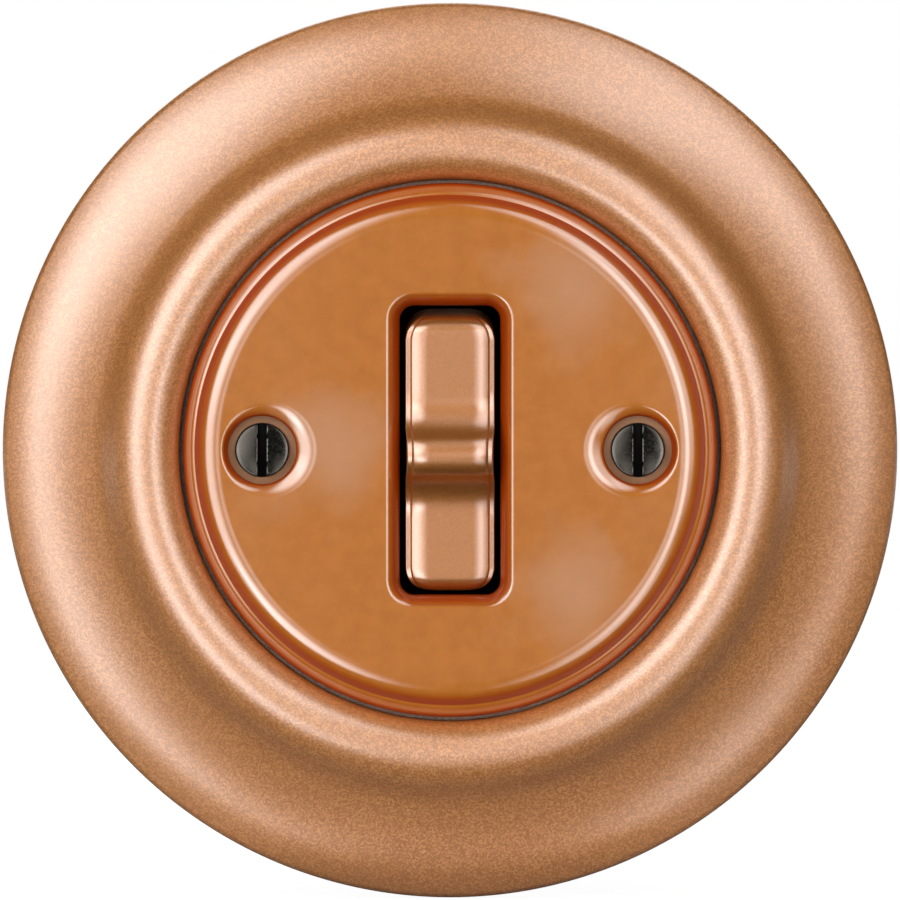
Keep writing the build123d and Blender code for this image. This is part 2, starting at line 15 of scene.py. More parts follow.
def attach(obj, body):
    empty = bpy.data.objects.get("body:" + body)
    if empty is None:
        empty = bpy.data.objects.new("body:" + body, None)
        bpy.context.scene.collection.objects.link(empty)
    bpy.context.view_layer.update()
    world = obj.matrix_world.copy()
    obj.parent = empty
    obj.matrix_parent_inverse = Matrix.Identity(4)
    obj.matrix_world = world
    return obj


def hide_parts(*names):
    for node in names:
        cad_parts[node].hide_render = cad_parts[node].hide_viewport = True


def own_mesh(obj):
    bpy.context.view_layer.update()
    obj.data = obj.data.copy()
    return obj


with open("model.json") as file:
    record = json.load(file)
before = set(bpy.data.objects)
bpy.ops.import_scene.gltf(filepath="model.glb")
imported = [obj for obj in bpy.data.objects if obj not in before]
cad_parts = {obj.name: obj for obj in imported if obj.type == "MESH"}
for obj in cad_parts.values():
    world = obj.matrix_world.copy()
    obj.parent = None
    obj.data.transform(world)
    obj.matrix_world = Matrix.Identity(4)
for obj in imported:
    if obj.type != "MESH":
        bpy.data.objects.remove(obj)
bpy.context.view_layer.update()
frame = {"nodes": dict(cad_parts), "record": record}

MM = 0.001
OUT = Vector((0, -1, 0))

# Heights and radii that the pieces share, in millimetres
ring_crest_radius = 33.6
ring_crest = 13.62
ring_radius = 50.0
opening_radius = 30.1
cover_radius = 29.7
cover_face = 13.4
cover_under = 9.8
ledge = 6.2
screw_offset = 20.85
recess_floor = 10.8
pivot_height = 7.0
lever_lean = 5.0


class Pencil:
    """Draws a section line as a chain of edges: straight runs, and arcs that follow on smoothly."""

    def __init__(self, mesh, radius, height, heading=0.0):
        self.mesh = mesh
        self.tip = mesh.verts.new((radius, -height, 0))
        self.heading = heading

    def to(self, radius, height):
        """Straight line to a point."""
        last = self.tip
        self.tip = self.mesh.verts.new((radius, -height, 0))
        self.mesh.edges.new((last, self.tip))

    def run(self, length):
        """Straight line along the heading."""
        a = radians(self.heading)
        tip = self.tip.co
        self.to(tip.x + length * cos(a), length * sin(a) - tip.y)

    def bend(self, radius, turn, steps):
        """Arc that turns clockwise by so many degrees, or the other way if negative."""
        side = radius if turn > 0 else -radius
        a = radians(self.heading)
        centre = self.tip.co + Vector((side * sin(a), side * cos(a), 0))
        arc = bmesh.ops.spin(
            self.mesh, geom=[self.tip], cent=centre, axis=(0, 0, 1), angle=radians(turn), steps=steps
        )
        self.tip = arc["geom_last"][0]
        self.heading -= turn


def spin_about(mesh, geometry, x=0.0, steps=96):
    """Full turn of a section line about an axis that points out of the wall."""
    bmesh.ops.spin(
        mesh, geom=geometry, cent=(x, 0, 0), axis=(0, 1, 0), angle=2 * pi, steps=steps, use_merge=True
    )


def everything(mesh):
    return mesh.verts[:] + mesh.edges[:] + mesh.faces[:]


def finish_piece(mesh, name, materials, node, body="housing", crease=40.0):
    """Closes the mesh, turns it outwards, scales it to metres and hangs it on its body."""
    bmesh.ops.remove_doubles(mesh, verts=mesh.verts, dist=0.002)
    bmesh.ops.recalc_face_normals(mesh, faces=mesh.faces)
    bmesh.ops.scale(mesh, vec=(MM, MM, MM), verts=mesh.verts)
    for face in mesh.faces:
        face.smooth = True
    for edge in mesh.edges:
        edge.smooth = edge.calc_face_angle(pi) < radians(crease)
    data = bpy.data.meshes.new(name)
    mesh.to_mesh(data)
    mesh.free()
    piece = bpy.data.objects.new(name, data)
    bpy.context.scene.collection.objects.link(piece)
    for material in materials:
        data.materials.append(material)
    weighted = piece.modifiers.new("even_shading", "WEIGHTED_NORMAL")
    weighted.keep_sharp = True
    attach(piece, body)
    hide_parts(node)
    return piece


# Finishes

class Finish:
    """A material with one shader, and short ways to add the textures that drive it."""

    def __init__(self, name, **values):
        self.material = bpy.data.materials.new(name)
        self.material.use_nodes = True
        self.tree = self.material.node_tree
        self.shader = self.tree.nodes["Principled BSDF"]
        self.place = self.add("ShaderNodeTexCoord")
        for socket, value in values.items():
            self.set(socket, value)

    def add(self, kind, **settings):
        node = self.tree.nodes.new(kind)
        for key, value in settings.items():
            setattr(node, key, value)
        return node

    def link(self, source, target):
        self.tree.links.new(source, target)

    def set(self, socket, value):
        self.shader.inputs[socket.replace("_", " ")].default_value = value

    def feed(self, socket, source):
        self.link(source, self.shader.inputs[socket])

    def noise(self, size, detail=2.0, roughness=0.5, stretch=None):
        """Soft noise with features of that size in millimetres."""
        node = self.add("ShaderNodeTexNoise")
        node.inputs["Scale"].default_value = 1 / (size * MM)
        node.inputs["Detail"].default_value = detail
        node.inputs["Roughness"].default_value = roughness
        self.link(self.coords(stretch), node.inputs["Vector"])
        return node.outputs["Fac"]

    def cells(self, size):
        """Cells of that size in millimetres, each with a level of its own."""
        node = self.add("ShaderNodeTexVoronoi", feature="F1")
        node.inputs["Scale"].default_value = 1 / (size * MM)
        self.link(self.coords(None), node.inputs["Vector"])
        split = self.add("ShaderNodeSeparateColor")
        self.link(node.outputs["Color"], split.inputs["Color"])
        return split.outputs["Red"]

    def coords(self, stretch):
        if stretch is None:
            return self.place.outputs["Object"]
        mapping = self.add("ShaderNodeMapping")
        mapping.inputs["Scale"].default_value = stretch
        self.link(self.place.outputs["Object"], mapping.inputs["Vector"])
        return mapping.outputs["Vector"]

    def spread(self, source, low, high, out_low=0.0, out_high=1.0):
        """Stretches a level between two limits."""
        node = self.add("ShaderNodeMapRange", interpolation_type="SMOOTHSTEP")
        levels = (low, high, out_low, out_high)
        for socket, value in zip(("From Min", "From Max", "To Min", "To Max"), levels):
            node.inputs[socket].default_value = value
        self.link(source, node.inputs["Value"])
        return node.outputs["Result"]

    def slope(self, flat, steep):
        """How far the surface turns away from the front, from 0 at one angle to 1 at another."""
        split = self.add("ShaderNodeSeparateXYZ")
        self.link(self.place.outputs["Normal"], split.inputs["Vector"])
        return self.spread(split.outputs["Y"], -cos(radians(flat)), -cos(radians(steep)))

    def blend(self, level, first, second):
        """Mix of two colours, or of a colour and what another blend gave."""
        node = self.add("ShaderNodeMix", data_type="RGBA")
        self.link(level, node.inputs["Factor"])
        for socket, colour in ((node.inputs[6], first), (node.inputs[7], second)):
            if isinstance(colour, tuple):
                socket.default_value = (*colour, 1)
            else:
                self.link(colour, socket)
        return node.outputs[2]

    def spot(self, place, reach, drift):
        """Soft round spot on the front, with an edge that drifts with a noise."""
        mapping = self.add("ShaderNodeMapping")
        mapping.inputs["Location"].default_value = (-place[0] * MM, 0, -place[1] * MM)
        mapping.inputs["Scale"].default_value = (1, 0, 1)
        self.link(self.place.outputs["Object"], mapping.inputs["Vector"])
        far = self.add("ShaderNodeVectorMath", operation="LENGTH")
        self.link(mapping.outputs["Vector"], far.inputs[0])
        mixed = self.add("ShaderNodeMath", operation="MULTIPLY")
        self.link(far.outputs["Value"], mixed.inputs[0])
        self.link(self.spread(drift, 0.3, 0.7, 0.75, 1.4), mixed.inputs[1])
        return self.spread(mixed.outputs[0], 0.0, reach * MM, 0.65, 0.0)

    def relief(self, height, depth, strength=1.0, under=None):
        """Bump with a depth in millimetres."""
        node = self.add("ShaderNodeBump")
        node.inputs["Strength"].default_value = strength
        node.inputs["Distance"].default_value = depth * MM
        self.link(height, node.inputs["Height"])
        if under is not None:
            self.link(under, node.inputs["Normal"])
        return node.outputs["Normal"]


def copper_lustre():
    """Satin copper lustre over porcelain: sparkling grain under a pale satin skin."""
    finish = Finish(
        "copper_lustre", Metallic=0.35, Coat_Weight=1.0, Coat_Roughness=0.31, Coat_IOR=2.7
    )
    flecks = finish.cells(0.17)
    clouds = finish.noise(9.0, detail=3.0)
    grain = finish.noise(0.3, detail=3.0, roughness=0.7)
    tone = finish.blend(finish.spread(flecks, 0.2, 1.0), (0.56, 0.184, 0.026), (0.86, 0.368, 0.1))
    tone = finish.blend(finish.spread(clouds, 0.35, 0.75, 0.0, 0.2), tone, (0.68, 0.256, 0.058))
    finish.feed("Base Color", tone)
    finish.feed("Roughness", finish.spread(grain, 0.3, 0.7, 0.46, 0.6))
    relief = finish.relief(flecks, 0.014, 0.5, under=finish.relief(grain, 0.02, 0.5))
    finish.feed("Normal", relief)
    finish.feed("Coat Normal", relief)
    return finish.material


# Places on the cover's face where pale patches of painted reflection lie in the glaze colour, and how far
# they reach
painted_reflection_spots = (((-13.0, 0.5), 11.0), ((13.8, 18.0), 11.0), ((13.6, -15.5), 10.0))


def brown_glaze(name, gloss):
    """Caramel glaze, thin and pale on the flat with pale patches of painted reflection, darker and redder
    on steep faces, partly from pooled glaze and partly as painted shade.
    """
    finish = Finish(
        name, Roughness=0.45, Specular_IOR_Level=0.08, Coat_Weight=1.0, Coat_Roughness=0.14, Coat_IOR=gloss
    )
    mottle = finish.noise(2.2, detail=4.0, roughness=0.6)
    # Steep faces turn darker and redder: partly glaze pooled thicker there, partly painted shade on walls
    # that face away from the light and into recesses
    steep = finish.slope(4, 48)
    face = finish.blend(finish.spread(mottle, 0.3, 0.7), (0.545, 0.168, 0.013), (0.605, 0.192, 0.02))
    drift = finish.noise(6.0, detail=3.0)
    # Pale patches mixed into the face colour: painted reflections of soft light in the wavy glaze
    for place, reach in painted_reflection_spots:
        level = finish.spot(place, reach, drift)
        face = finish.blend(level, face, (0.66, 0.33, 0.175))
    finish.feed("Base Color", finish.blend(steep, face, (0.36, 0.044, 0.0005)))
    waves = finish.noise(16.0, detail=1.0)
    finish.feed("Coat Normal", finish.relief(waves, 0.12, 1.0))
    return finish.material


def copper_lever_paint():
    """Satin copper lacquer with a finer, quieter grain than the frame's."""
    finish = Finish("copper_lever", Metallic=0.8, Coat_Weight=1.0, Coat_Roughness=0.24, Coat_IOR=2.75)
    grain = finish.noise(0.25, detail=3.0, roughness=0.7)
    tone = finish.blend(finish.spread(grain, 0.3, 0.7), (0.5, 0.158, 0.009), (0.6, 0.2, 0.016))
    finish.feed("Base Color", tone)
    finish.feed("Roughness", finish.spread(grain, 0.3, 0.7, 0.4, 0.5))
    relief = finish.relief(grain, 0.012, 0.4)
    finish.feed("Normal", relief)
    finish.feed("Coat Normal", relief)
    return finish.material


def blackened_steel():
    """Blackened screw steel with a mottled, slightly worn skin."""
    finish = Finish("black_steel", Specular_IOR_Level=1.0, Specular_Tint=(1.0, 0.9, 0.78, 1.0))
    wear = finish.noise(0.28, detail=5.0, roughness=0.7)
    tone = finish.blend(finish.spread(wear, 0.45, 0.75), (0.003, 0.003, 0.0025), (0.012, 0.011, 0.009))
    finish.feed("Base Color", tone)
    finish.feed("Roughness", finish.spread(wear, 0.3, 0.7, 0.08, 0.2))
    finish.feed("Normal", finish.relief(wear, 0.01, 0.5))
    return finish.material


def moulding(name, dark, light, rough, grain_size, shine=0.4):
    """Moulded plastic with a fine eroded texture and faint flow marks."""
    finish = Finish(name, Specular_IOR_Level=shine)
    grain = finish.noise(grain_size, detail=4.0, roughness=0.6)
    flow = finish.noise(7.0, detail=3.0, stretch=(1.0, 0.35, 1.0))
    finish.feed("Base Color", finish.blend(finish.spread(flow, 0.3, 0.7), dark, light))
    finish.feed("Roughness", finish.spread(grain, 0.3, 0.7, rough - 0.08, rough + 0.08))
    finish.feed("Normal", finish.relief(grain, 0.03, 0.5))
    return finish.material


def bare_metal(name, dark, light, rough, stretch, tarnish=None):
    """Stamped or turned metal with fine drawn lines, and tarnish in clouds."""
    finish = Finish(name, Metallic=1.0)
    lines = finish.noise(0.4, detail=4.0, roughness=0.6, stretch=stretch)
    clouds = finish.noise(4.0, detail=4.0)
    tone = finish.blend(finish.spread(lines, 0.3, 0.7), dark, light)
    if tarnish is not None:
        tone = finish.blend(finish.spread(clouds, 0.5, 0.8, 0.0, 0.6), tone, tarnish)
    finish.feed("Base Color", tone)
    finish.feed("Roughness", finish.spread(clouds, 0.3, 0.7, rough - 0.08, rough + 0.1))
    finish.feed("Normal", finish.relief(lines, 0.004, 0.3))
    return finish.material


drawn = (1.0, 1.0, 0.08)
turned = (1.0, 0.15, 1.0)
finishes = {
    "copper_lustre": copper_lustre(),
    "brown_glaze": brown_glaze("brown_glaze", 2.4),
    "copper_lever": copper_lever_paint(),
    "black_steel": blackened_steel(),
    "cradle_plastic": moulding("cradle_plastic", (0.03, 0.03, 0.03), (0.05, 0.05, 0.05), 0.5, 0.3),
    "plunger_plastic": moulding("plunger_plastic", (0.7, 0.67, 0.6), (0.78, 0.76, 0.7), 0.45, 0.3),
    "base_moulding": moulding("base_moulding", (0.02, 0.019, 0.018), (0.036, 0.034, 0.032), 0.42, 0.35),
    # The housing is black moulding, made darker than moulded black as painted shade in the gap round the
    # cover and lever
    "housing_moulding": moulding(
        "housing_moulding", (0.002, 0.002, 0.002), (0.004, 0.004, 0.0035), 0.7, 0.35, 0.1
    ),
    "steel": bare_metal("steel", (0.5, 0.51, 0.52), (0.62, 0.63, 0.64), 0.32, turned, (0.4, 0.4, 0.37)),
    "plate_steel": bare_metal(
        "plate_steel", (0.52, 0.52, 0.5), (0.66, 0.66, 0.64), 0.54, drawn, (0.46, 0.45, 0.4)
    ),
    "contact_brass": bare_metal(
        "contact_brass", (0.66, 0.45, 0.17), (0.78, 0.56, 0.24), 0.3, drawn, (0.5, 0.31, 0.1)
    ),
    "contact_silver": bare_metal("contact_silver", (0.74, 0.73, 0.7), (0.86, 0.85, 0.82), 0.25, turned),
}

# Finishes of places: a less glossy glaze for steep faces, where it pooled, whose darker red is partly
# painted shade; a paler, greyer tone for the collar under the screw heads; and a near-black painted shade
# for the screw slots and the hidden pin
pooled_glaze_and_painted_shade = brown_glaze("pooled_glaze_and_painted_shade", 1.5)
# Paler, greyer tone for the collar under the screw heads
pale_collar_tone = moulding("pale_collar_tone", (0.29, 0.13, 0.05), (0.39, 0.19, 0.09), 0.55, 0.3)
# Near-black painted shade for the screw slots and the hidden pivot pin, which lie in shade
painted_shade_black = moulding("painted_shade_black", (0.002, 0.002, 0.002), (0.006, 0.0055, 0.005), 0.75, 0.2, 0.05)

# Nodes that stay as they are take the finish of their slot; the hidden pin takes the near-black painted
# shade
for part in frame["record"]["subparts"]:
    node = frame["nodes"][part["node"]]
    node.data.materials.clear()
    finish = painted_shade_black if part["node"] == "pivot_pin" else finishes[part["material_slot"]]
    node.data.materials.append(finish)


# Porcelain frame: bead, cove, hollow band, shoulder and rolled edge, with a hollow back
edge_break = 0.25
foot_radius = 45.4
foot_height = 2.0
pocket_radius = 34.3
pocket_roof = 8.0
ledge_radius = 27.2
ledge_under = 4.2
inner_round = 3.5
ring = bmesh.new()
line = Pencil(ring, ring_crest_radius, ring_crest)
line.bend(4.8, 60, 12)
line.bend(6.1, -27, 6)
line.bend(24.9, -16, 6)
line.bend(14.8, 14.6, 6)
line.bend(1.2, 58.4, 8)
for radius, height in (
    (ring_radius, edge_break),
    (ring_radius - edge_break, 0),
    (foot_radius, 0),
    (foot_radius, foot_height),
    (pocket_radius, pocket_roof),
    (pocket_radius, ledge_under),
    (ledge_radius, ledge_under),
    (ledge_radius, ledge),
    (opening_radius, ledge),
    (opening_radius, ring_crest - inner_round),
):
    line.to(radius, height)
line.heading = 90
line.bend(inner_round, 90, 12)
spin_about(ring, everything(ring), steps=288)
finish_piece(ring, "copper_frame_ring", [finishes["copper_lustre"]], "frame_ring")


# Glazed cover: stepped rim, rolled window edge and two screw recesses that lean towards the middle
face_radius = 25.5
skirt_radius = 25.4
cover = bmesh.new()
line = Pencil(cover, face_radius, cover_face)
line.to(face_radius + 0.02, cover_face)
line.bend(4.8, 16, 10)
line.bend(2.2, 34, 8)
line.run(0.55)
line.bend(0.3, -32, 5)
line.bend(1.6, 16, 4)
line.run(0.5)
line.bend(1.0, 56, 8)
for radius, height in ((cover_radius, ledge), (skirt_radius, ledge), (skirt_radius, cover_under)):
    line.to(radius, height)
spin_about(cover, everything(cover), steps=256)

recess_radius = 4.0
lip_reach = 1.4
lip_drop = 0.5
lip_lean = 0.8
collar = recess_floor + 0.75
counterbore_radius = 3.04
screw_hole_radius = 1.8
boss_radius = 5.0
boss_end = cover_under - 2.4
for side in (-1, 1):
    before = set(cover.verts)
    x = side * screw_offset
    line = Pencil(cover, x + recess_radius + lip_reach, cover_face)
    for step in range(1, 11):
        sunk = step / 10
        line.to(x + recess_radius + lip_reach * (1 - sunk), cover_face - lip_drop * sunk**2)
    line.to(x + recess_radius - 0.1, cover_face - lip_drop - 0.1)
    line.to(x + recess_radius - 0.15, cover_face - lip_drop - 0.25)
    for radius, height in (
        (recess_radius - 0.15, collar + 0.08),
        (recess_radius - 0.22, collar),
        (counterbore_radius, collar),
        (counterbore_radius, recess_floor),
        (screw_hole_radius, recess_floor),
        (screw_hole_radius, boss_end),
        (boss_radius, boss_end),
        (boss_radius, cover_under),
    ):
        line.to(x + radius, height)
    chain = [v for v in cover.verts if v not in before]
    chain += [e for e in cover.edges if not set(e.verts) & before]
    spin_about(cover, chain, x, steps=96)
    for vert in set(cover.verts) - before:
        reach = (Vector((x, vert.co.y, 0)) - vert.co).length - recess_radius
        if vert.co.y < -(recess_floor + 1) and reach > 0:
            vert.co.x -= side * lip_lean * reach / lip_reach

window_corner = 1.6
window_x = 5.57 - window_corner
window_z = 16.05 - window_corner
before = set(cover.verts)
window_lip = 0.7
lip_turn = 30
window_roll = 2.4
roll_reach = window_lip * sin(radians(lip_turn)) + window_roll * (1 - sin(radians(lip_turn)))
line = Pencil(cover, window_x + window_corner + roll_reach + 0.15, cover_face)
line.to(window_x + window_corner + roll_reach, cover_face)
line.heading = 180
line.bend(window_lip, -lip_turn, 5)
line.bend(window_roll, lip_turn - 90, 10)
line.to(window_x + window_corner, cover_under)
edge = [v for v in cover.verts if v not in before]
bmesh.ops.translate(cover, verts=edge, vec=(0, 0, window_z))
edge += [e for e in cover.edges if not set(e.verts) & before]
for corner, run in (
    ((window_x, window_z), (-2 * window_x, 0)),
    ((-window_x, window_z), (0, -2 * window_z)),
    ((-window_x, -window_z), (2 * window_x, 0)),
    ((window_x, -window_z), (0, 2 * window_z)),
):
    turned_edge = bmesh.ops.spin(
        cover, geom=edge, cent=(corner[0], 0, corner[1]), axis=(0, -1, 0), angle=pi / 2, steps=8
    )["geom_last"]
    pulled = bmesh.ops.extrude_edge_only(
        cover, edges=[e for e in turned_edge if isinstance(e, bmesh.types.BMEdge)]
    )["geom"]
    edge = [e for e in pulled if not isinstance(e, bmesh.types.BMFace)]
    bmesh.ops.translate(
        cover, verts=[v for v in edge if isinstance(v, bmesh.types.BMVert)], vec=(run[0], 0, run[1])
    )
bmesh.ops.remove_doubles(cover, verts=cover.verts, dist=0.002)
for height in (cover_face, cover_under):
    rim = [e for e in cover.edges if e.is_boundary and all(abs(v.co.y + height) < 0.001 for v in e.verts)]
    bmesh.ops.triangle_fill(cover, edges=rim, use_beauty=True)
cover.normal_update()
# Steep faces take the less glossy pooled glaze with its painted shade; the collars under the screw heads
# take their paler tone
for face in cover.faces:
    middle = face.calc_center_median()
    if abs(face.normal.y) < cos(radians(35)):
        face.material_index = 1
    elif abs(middle.y + collar) < 0.01:
        face.material_index = 2
glazes = [finishes["brown_glaze"], pooled_glaze_and_painted_shade, pale_collar_tone]
finish_piece(cover, "glazed_cover", glazes, "cover_plate")


# Slotted cover screws with a low dome and a softened rim
screws = bmesh.new()
slot_half = 0.5
head_lean = 1.2
head_rake = 8.0
slot_floor = recess_floor + 0.6
head_top = recess_floor + 1.7
head_radius = 3.0
shank_radius = 1.5
shank_end = -3.0
for side in (-1, 1):
    screw = bmesh.new()
    line = Pencil(screw, 0, head_top)
    line.bend(20.0, 8.05, 8)
    line.bend(0.2, 81.95, 5)
    for radius, height in (
        (head_radius, recess_floor),
        (shank_radius, recess_floor),
        (shank_radius, shank_end),
        (0, shank_end),
    ):
        line.to(radius, height)
    spin_about(screw, everything(screw), steps=64)
    bmesh.ops.remove_doubles(screw, verts=screw.verts, dist=0.002)
    for vert in screw.verts:
        if vert.co.y < -(recess_floor + 0.5):
            vert.co.y += vert.co.z * tan(radians(head_rake)) - vert.co.x * tan(radians(head_lean))
    for plane, direction in (
        ((-slot_half, 0, 0), (1, 0, 0)),
        ((slot_half, 0, 0), (1, 0, 0)),
        ((0, -slot_floor, 0), (0, 1, 0)),
    ):
        bmesh.ops.bisect_plane(
            screw, geom=everything(screw), dist=0.0001, plane_co=plane, plane_no=direction
        )
    strip = [
        f for f in screw.faces
        if abs(f.calc_center_median().x) < slot_half and f.calc_center_median().y < -slot_floor
    ]
    bmesh.ops.delete(screw, geom=strip, context="FACES")
    walls = [
        e for e in screw.edges
        if e.is_boundary and all(abs(abs(v.co.x) - slot_half) < 0.001 for v in e.verts)
    ]
    sunk = bmesh.ops.extrude_edge_only(screw, edges=walls)["geom"]
    for vert in sunk:
        if isinstance(vert, bmesh.types.BMVert):
            vert.co.y = -slot_floor
    bmesh.ops.remove_doubles(screw, verts=screw.verts, dist=0.002)
    bmesh.ops.dissolve_degenerate(screw, edges=screw.edges, dist=0.0005)
    bmesh.ops.holes_fill(screw, edges=[e for e in screw.edges if e.is_boundary], sides=0)
    slot_rims = [
        e for e in screw.edges
        if all(abs(abs(v.co.x) - slot_half) < 0.001 and v.co.y < -slot_floor - 0.01 for v in e.verts)
        and e.calc_face_angle(0) > radians(50)
    ]
    bmesh.ops.bevel(
        screw, geom=slot_rims, affect="EDGES", offset=0.1, segments=2, profile=0.5, material=-1
    )
    # The slot faces take the near-black painted shade
    for face in screw.faces:
        middle = face.calc_center_median()
        if abs(middle.x) < slot_half + 0.001 and middle.y < -recess_floor - 0.5:
            face.material_index = 1
    bmesh.ops.translate(screw, verts=screw.verts, vec=(side * screw_offset, 0, 0))
    copy = bpy.data.meshes.new("screw_copy")
    screw.to_mesh(copy)
    screws.from_mesh(copy)
    bpy.data.meshes.remove(copy)
    screw.free()
steels = [finishes["black_steel"], painted_shade_black]
finish_piece(screws, "slotted_screws", steels, "cover_screws", crease=30)


# Lever: a hollow cap with a finger ridge, crowned across, with drafted sides and rounded corners
half_width = 4.91
flank = 6.0
skirt = -2.6
ridge_top = 9.0
ridge_turn = 50.0
end_reach = 15.6
end_draft = 2.7
end_roll = 1.7
plan_corner = 2.6
crown_flat = 2.4
crown_round = 5.8
crown_turn = 18
edge_round = 0.18
edge_drop = 0.25
ledge_slope = 3
ledge_width = 0.36
side_draft = 6.5
draft_start = 6.3
pin_clearance = 1.6
cavity_roof = 4.2
cavity_half_width = 3.41
cavity_end = 13.6


def end_at(height):
    """Where the drafted end of the lever lies at a height over the pivot."""
    return end_reach - (height - skirt) * tan(radians(end_draft))


def carry_across(mesh, section, moves):
    """Pulls a section line sideways, move by move, each to the side and down."""
    for side, drop in moves:
        pulled = bmesh.ops.extrude_edge_only(mesh, edges=section)["geom"]
        verts = [v for v in pulled if isinstance(v, bmesh.types.BMVert)]
        bmesh.ops.translate(mesh, verts=verts, vec=(0, drop, side))
        section = [e for e in pulled if isinstance(e, bmesh.types.BMEdge)]
    return {vert for edge in section for vert in edge.verts}


def arc_moves(radius, start, end, steps):
    """Moves round an arc that turns from one slope to another."""
    angles = [radians(start + (end - start) * i / steps) for i in range(steps + 1)]
    return [
        (radius * (sin(b) - sin(a)), radius * (cos(a) - cos(b))) for a, b in zip(angles, angles[1:])
    ]


def close_skirt(rim):
    """Brings a side wall down to the skirt, with an arch over the pin."""
    for vert in rim:
        arch = pin_clearance**2 - vert.co.x**2
        vert.co.y = -max(arch, 0)**0.5 if arch > -0.01 else -skirt


lever = bmesh.new()
line = Pencil(lever, 0, ridge_top)
line.bend(3.0, ridge_turn, 16)
line.bend(5.4, -ridge_turn, 14)
roll_start = end_at(flank - end_roll) - end_roll
for back in (8.0, plan_corner, 2.2):
    line.to(end_at(flank) - back, flank)
line.to(roll_start, flank)
line.bend(end_roll, 90 - end_draft, 14)
line.to(end_at(0), 0)
line.to(end_at(skirt), skirt)
moves = [(crown_flat, 0)]
moves += arc_moves(crown_round, 0, crown_turn, 9)
moves += arc_moves(edge_round, crown_turn, 85, 4)
moves += [(0.02, edge_drop)]
moves += arc_moves(-0.12, 85, ledge_slope, 3)
moves += [(ledge_width, 0.02)]
moves += arc_moves(0.13, ledge_slope, 90, 4)
outer_rim = carry_across(lever, lever.edges[:], moves + [(0, 0)])
close_skirt(outer_rim)
for vert in lever.verts:
    vert.co.y = min(vert.co.y, -skirt)
    inset = end_at(-vert.co.y) - vert.co.x
    if inset < plan_corner:
        inset = max(inset, 0)
        reach = half_width - plan_corner + (plan_corner**2 - (plan_corner - inset)**2)**0.5
        vert.co.z *= reach / half_width
    rise = -vert.co.y - draft_start
    if rise > 0:
        vert.co.z *= 1 - rise * tan(radians(side_draft)) / half_width
outside = set(lever.verts)
line = Pencil(lever, 0, cavity_roof)
for along in (0.4, 0.8, 1.1, 1.35, 1.5, 1.6, 1.75, cavity_end):
    line.to(along, cavity_roof)
line.to(cavity_end + 0.2, skirt)
inner_line = [e for e in lever.edges if not set(e.verts) & outside]
inner_rim = carry_across(lever, inner_line, [(cavity_half_width, 0), (0, 0)])
close_skirt(inner_rim)
bmesh.ops.rotate(lever, cent=(0, 0, 0), matrix=Matrix.Rotation(-pi / 2, 3, "Y"), verts=lever.verts)
for axis in ("X", "Z"):
    bmesh.ops.mirror(lever, geom=everything(lever), axis=axis, merge_dist=0.002)
bmesh.ops.remove_doubles(lever, verts=lever.verts, dist=0.002)
bmesh.ops.dissolve_degenerate(lever, edges=lever.edges, dist=0.001)
bmesh.ops.bridge_loops(lever, edges=[e for e in lever.edges if e.is_boundary])
lean = Matrix.Rotation(radians(lever_lean), 3, "X")
bmesh.ops.rotate(lever, cent=(0, 0, 0), matrix=lean, verts=lever.verts)
bmesh.ops.translate(lever, verts=lever.verts, vec=OUT * pivot_height)
lever_paint = [finishes["copper_lever"]]
finish_piece(lever, "copper_lever", lever_paint, "rocker_lever", body="rocker")


# Plunger spring: a wire coil under the roof of the cradle's bore
wire_radius = 0.25
coil_radius = 1.6
coil_low = -6.1
coil_high = -2.23
coil_turns = 3.5
coil_steps = 98
coil = bmesh.new()
bmesh.ops.create_circle(coil, cap_ends=True, radius=wire_radius, segments=10)
bmesh.ops.translate(coil, verts=coil.verts, vec=(coil_radius, -coil_low, 0))
bmesh.ops.spin(
    coil, geom=everything(coil), axis=(0, 1, 0), angle=2 * pi * coil_turns, steps=coil_steps,
    dvec=OUT * (coil_high - coil_low) / coil_steps,
)
bmesh.ops.rotate(coil,cent=(0, 0, 0), matrix=lean, verts=coil.verts)
bmesh.ops.translate(coil, verts=coil.verts, vec=OUT * pivot_height)
spring = finish_piece(coil, "coil_spring", [finishes["steel"]], "plunger_spring", body="rocker")
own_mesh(spring)


# Floor, light and camera, in metres. The floor's front edge lies just in front of the switch.
floor_reach = 6
floor_front = 0.018
floor_drop = 0.0501
floor_mesh = bmesh.new()
bmesh.ops.create_grid(floor_mesh, x_segments=1, y_segments=1, size=floor_reach)
bmesh.ops.translate(floor_mesh, verts=floor_mesh.verts, vec=(0, floor_reach - floor_front, -floor_drop))
floor_data = bpy.data.meshes.new("pale_floor")
floor_mesh.to_mesh(floor_data)
floor_mesh.free()
floor = bpy.data.objects.new("pale_floor", floor_data)
bpy.context.scene.collection.objects.link(floor)


def chain_math(nodes, links, operation, first, second):
    """One sum with two levels, each a number or a socket."""
    node = nodes.new("ShaderNodeMath")
    node.operation = operation
    for socket, level in zip(node.inputs, (first, second)):
        if isinstance(level, float):
            socket.default_value = level
        else:
            links.new(level, socket)
    return node.outputs[0]


def ramp(nodes, links, source, start, end, low, high):
    """Level that goes from low to high between two places."""
    node = nodes.new("ShaderNodeMapRange")
    for socket, value in zip(("From Min", "From Max", "To Min", "To Max"), (start, end, low, high)):
        node.inputs[socket].default_value = value
    links.new(source, node.inputs["Value"])
    return node.outputs["Result"]


def backdrop_level(nodes, links, behind):
    """White where the camera looks, and in reflections and clear parts where the backdrop stands."""
    rays = nodes.new("ShaderNodeLightPath")
    mirrored = chain_math(
        nodes, links, "MAXIMUM", rays.outputs["Is Glossy Ray"], rays.outputs["Is Transmission Ray"]
    )
    mirrored = chain_math(nodes, links, "MULTIPLY", mirrored, behind)
    return chain_math(nodes, links, "MAXIMUM", rays.outputs["Is Camera Ray"], mirrored)


